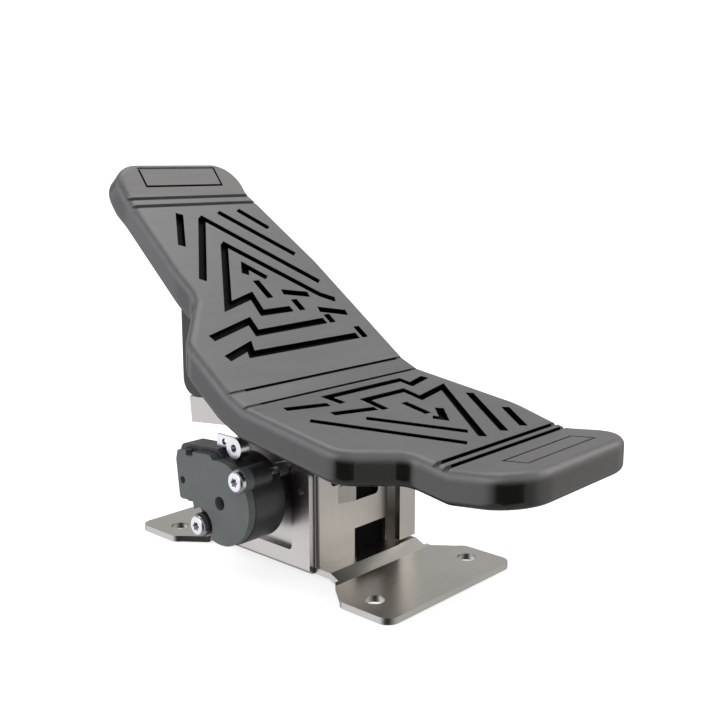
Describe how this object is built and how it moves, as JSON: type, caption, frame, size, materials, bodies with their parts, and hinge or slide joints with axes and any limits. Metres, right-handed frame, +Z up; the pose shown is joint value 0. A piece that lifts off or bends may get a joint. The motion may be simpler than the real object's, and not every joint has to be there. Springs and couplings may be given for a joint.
{
  "type": "accelerator pedal",
  "caption": "Floor mounted rocker accelerator pedal with a wide angled treadle on a sheet steel base and a rotary angle sensor on its left side.",
  "frame": {"origin": "centre of the four floor bolts, on the underside of the base", "axes": "+X across the pedal, away from the sensor; +Y towards the toe end; +Z up, out of the floor"},
  "size_m": [0.1173, 0.2622, 0.184],
  "materials": {
    "stainless": "brushed, warm grey",
    "plated_steel": "zinc plated",
    "bright_zinc": "bright zinc plated",
    "spring_steel": "oiled spring steel",
    "bronze": "sintered bronze",
    "contact_brass": "bare contact metal",
    "black_plastic": "glossy black moulding",
    "black_rubber": "matt rubber",
    "tread_plastic": "satin moulded, dark grey",
    "sensor_plastic": "matt moulded, dark grey",
    "sensor_face_plastic": "matt moulded, slate grey"
  },
  "bodies": {
    "base": {"base_bracket": "stainless", "inner_bracket": "stainless", "inner_guard": "black_plastic", "foot_rivets": "plated_steel", "bushing_left": "bronze", "bushing_right": "bronze", "stop_pins": "plated_steel", "stop_sleeves": "black_rubber", "spring_seats": "plated_steel", "spring_heel": "spring_steel", "spring_toe": "spring_steel", "sensor_housing": "sensor_plastic", "sensor_cover": "sensor_face_plastic", "sensor_screws": "bright_zinc", "sensor_spacers": "plated_steel", "plug_contacts": "contact_brass", "cable_clip": "bright_zinc"},
    "treadle": {"tread_pad": "tread_plastic", "tread_block": "black_plastic", "treadle_bracket": "stainless", "pivot_yoke": "plated_steel", "yoke_bolts": "plated_steel", "tread_screws": "plated_steel", "pivot_shaft": "plated_steel", "retaining_ring": "spring_steel", "thrust_washers": "bronze", "spring_guides": "plated_steel", "sensor_rotor": "black_plastic"}
  },
  "joints": [
    {"name": "treadle_rock", "type": "hinge", "parent": "base", "child": "treadle", "pos_m": [0, 0.001, 0.037], "axis": [1, 0, 0], "range_deg": [-15, 10], "stiffness_Nm_per_rad": 6, "deforming": ["spring_heel", "spring_toe"]}
  ]
}
